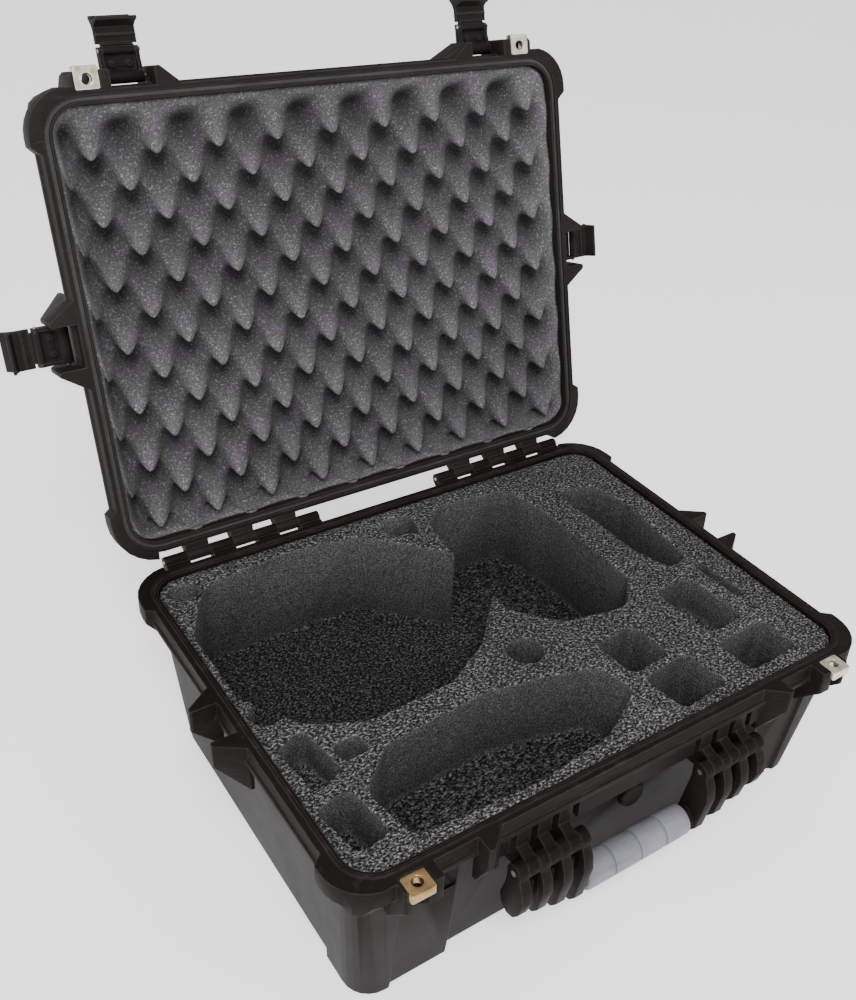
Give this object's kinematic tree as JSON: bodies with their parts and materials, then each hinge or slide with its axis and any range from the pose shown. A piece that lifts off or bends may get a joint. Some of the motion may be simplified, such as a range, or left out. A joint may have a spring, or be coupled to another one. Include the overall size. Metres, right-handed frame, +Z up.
{
  "type": "drone carrying case",
  "caption": "hard-shell carrying case for a drone, lid open on its hinge, foam tray cut with pockets, egg-crate lid foam, draw latches, folding handle and padlock plates",
  "frame": {"origin": "middle of the flat underside of the base", "axes": "+Z up, +X along the hinge towards the right side, -Y towards the carrying handle, +Y towards the hinge"},
  "size_m": [0.639, 0.6037, 0.6183],
  "materials": {
    "case_shell": "fine moulded grain, dark brown-black",
    "foam": "open-cell charcoal foam with light specks",
    "grip_rubber": "smooth cool grey soft grip",
    "seal_rubber": "matt",
    "padlock_plate": "nickel plated, slightly worn",
    "pin_steel": "drawn"
  },
  "bodies": {
    "base": {"base_shell": "case_shell", "foam_pad": "foam", "foam_tray": "foam", "padlock_plate_base_left": "padlock_plate", "padlock_plate_base_right": "padlock_plate", "hinge_pin_left": "pin_steel", "hinge_pin_right": "pin_steel", "handle_pin_left": "pin_steel", "handle_pin_right": "pin_steel", "valve_body": "case_shell", "valve_cap": "case_shell", "valve_nut": "case_shell"},
    "lid": {"lid_shell": "case_shell", "lid_gasket": "seal_rubber", "lid_foam": "foam", "padlock_plate_lid_left": "padlock_plate", "padlock_plate_lid_right": "padlock_plate", "latch_pin_front_left": "pin_steel", "latch_pin_front_right": "pin_steel", "latch_pin_side_left": "pin_steel", "latch_pin_side_right": "pin_steel"},
    "handle": {"handle_frame": "case_shell", "handle_grip": "grip_rubber"},
    "arm_front_left": {"latch_arm_front_left": "case_shell", "lever_pin_front_left": "pin_steel"},
    "lever_front_left": {"latch_lever_front_left": "case_shell"},
    "arm_front_right": {"latch_arm_front_right": "case_shell", "lever_pin_front_right": "pin_steel"},
    "lever_front_right": {"latch_lever_front_right": "case_shell"},
    "arm_side_left": {"latch_arm_side_left": "case_shell", "lever_pin_side_left": "pin_steel"},
    "lever_side_left": {"latch_lever_side_left": "case_shell"},
    "arm_side_right": {"latch_arm_side_right": "case_shell", "lever_pin_side_right": "pin_steel"},
    "lever_side_right": {"latch_lever_side_right": "case_shell"}
  },
  "joints": [
    {"name": "lid_hinge", "type": "hinge", "parent": "base", "child": "lid", "pos_m": [0, 0.2149, 0.16265], "axis": [1, 0, 0], "range_deg": [0, 104]},
    {"name": "handle_hinge", "type": "hinge", "parent": "base", "child": "handle", "pos_m": [0, -0.214, 0.114], "axis": [-1, 0, 0], "range_deg": [0, 90]},
    {"name": "latch_front_left", "type": "hinge", "parent": "lid", "child": "arm_front_left", "pos_m": [-0.1785, 0.34319, 0.57032], "axis": [1, 0, 0], "range_deg": [0, 90]},
    {"name": "lever_front_left", "type": "hinge", "parent": "arm_front_left", "child": "lever_front_left", "pos_m": [-0.1785, 0.34916, 0.59099], "axis": [-1, 0, 0], "range_deg": [0, 22]},
    {"name": "latch_front_right", "type": "hinge", "parent": "lid", "child": "arm_front_right", "pos_m": [0.1785, 0.34319, 0.57032], "axis": [1, 0, 0], "range_deg": [0, 90]},
    {"name": "lever_front_right", "type": "hinge", "parent": "arm_front_right", "child": "lever_front_right", "pos_m": [0.1785, 0.34916, 0.59099], "axis": [-1, 0, 0], "range_deg": [0, 22]},
    {"name": "latch_side_left", "type": "hinge", "parent": "lid", "child": "arm_side_left", "pos_m": [-0.2705, 0.29197, 0.36491], "axis": [0, 0.2419, 0.9703], "range_deg": [0, 90]},
    {"name": "lever_side_left", "type": "hinge", "parent": "arm_side_left", "child": "lever_side_left", "pos_m": [-0.292, 0.29275, 0.36472], "axis": [0, -0.2419, -0.9703], "range_deg": [0, 22]},
    {"name": "latch_side_right", "type": "hinge", "parent": "lid", "child": "arm_side_right", "pos_m": [0.2705, 0.29197, 0.36491], "axis": [0, -0.2419, -0.9703], "range_deg": [0, 90]},
    {"name": "lever_side_right", "type": "hinge", "parent": "arm_side_right", "child": "lever_side_right", "pos_m": [0.292, 0.29275, 0.36472], "axis": [0, 0.2419, 0.9703], "range_deg": [0, 22]}
  ]
}
